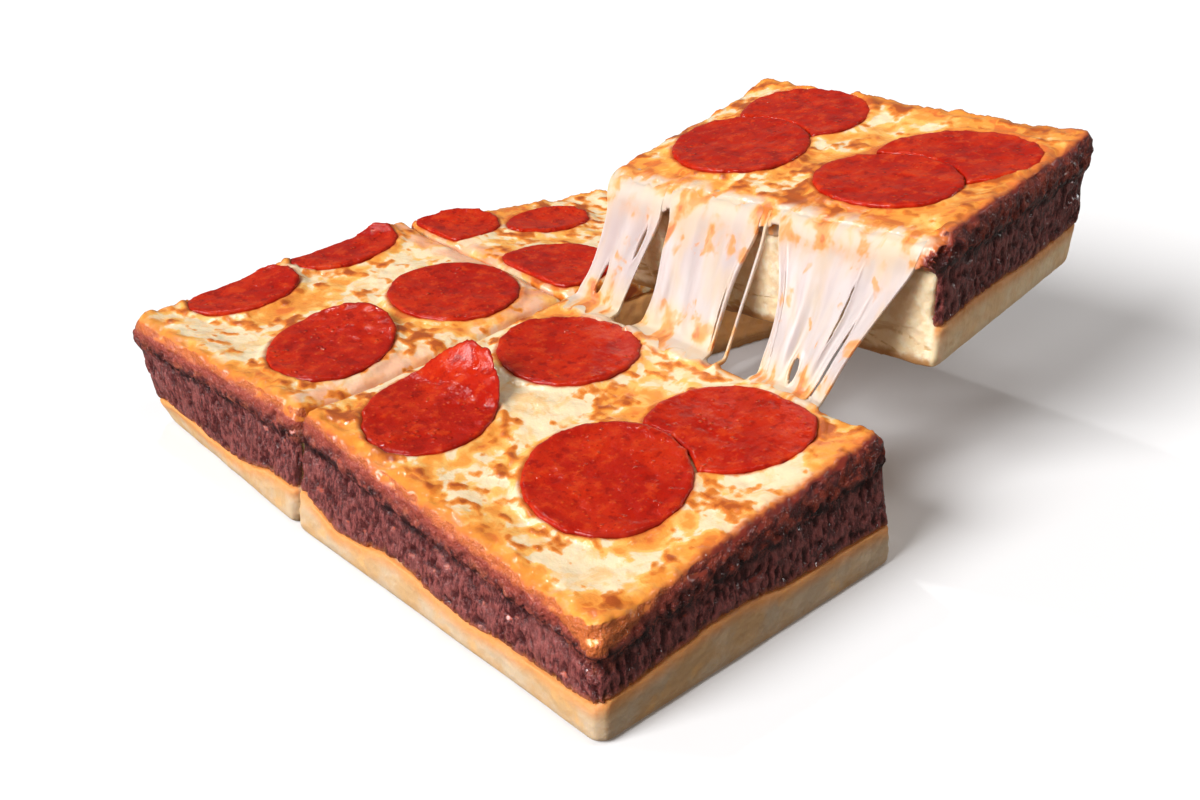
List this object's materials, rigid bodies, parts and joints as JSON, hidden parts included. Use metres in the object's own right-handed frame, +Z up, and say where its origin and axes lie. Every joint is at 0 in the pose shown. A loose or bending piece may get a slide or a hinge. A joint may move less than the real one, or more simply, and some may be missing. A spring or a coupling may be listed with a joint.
{
  "type": "detroit-style pizza",
  "caption": "Deep rectangular pan pizza with browned cheese walls and pepperoni, cut into slices, one slice lifted on strings of melted cheese.",
  "frame": {"origin": "bottom centre of the bounding box, on the surface the pizza rests on", "axes": "+X and +Y along the two cuts, with the near outer corner towards -X and -Y and the lifted slice towards +X, +Z up"},
  "size_m": [0.2042, 0.2052, 0.087],
  "materials": {
    "bread_crust": "dry pale bread crumb with a lightly browned underside",
    "baked_cheese": "oily melted cheese with brown blisters, dark caramelised walls",
    "cured_pepperoni": "oily mottled red cured meat",
    "stretched_cheese": "translucent glossy stretched mozzarella"
  },
  "bodies": {
    "root": {"crust_front": "bread_crust", "cheese_front": "baked_cheese", "crust_left": "bread_crust", "cheese_left": "baked_cheese", "crust_back": "bread_crust", "cheese_back": "baked_cheese", "crust_raised": "bread_crust", "cheese_raised": "baked_cheese", "cheese_pull": "stretched_cheese", "pepperoni_front_1": "cured_pepperoni", "pepperoni_front_2": "cured_pepperoni", "pepperoni_front_3": "cured_pepperoni", "pepperoni_front_4": "cured_pepperoni", "pepperoni_left_1": "cured_pepperoni", "pepperoni_left_2": "cured_pepperoni", "pepperoni_left_3": "cured_pepperoni", "pepperoni_left_4": "cured_pepperoni", "pepperoni_back_1": "cured_pepperoni", "pepperoni_back_2": "cured_pepperoni", "pepperoni_back_3": "cured_pepperoni", "pepperoni_back_4": "cured_pepperoni", "pepperoni_raised_1": "cured_pepperoni", "pepperoni_raised_2": "cured_pepperoni", "pepperoni_raised_3": "cured_pepperoni", "pepperoni_raised_4": "cured_pepperoni"}
  },
  "joints": []
}
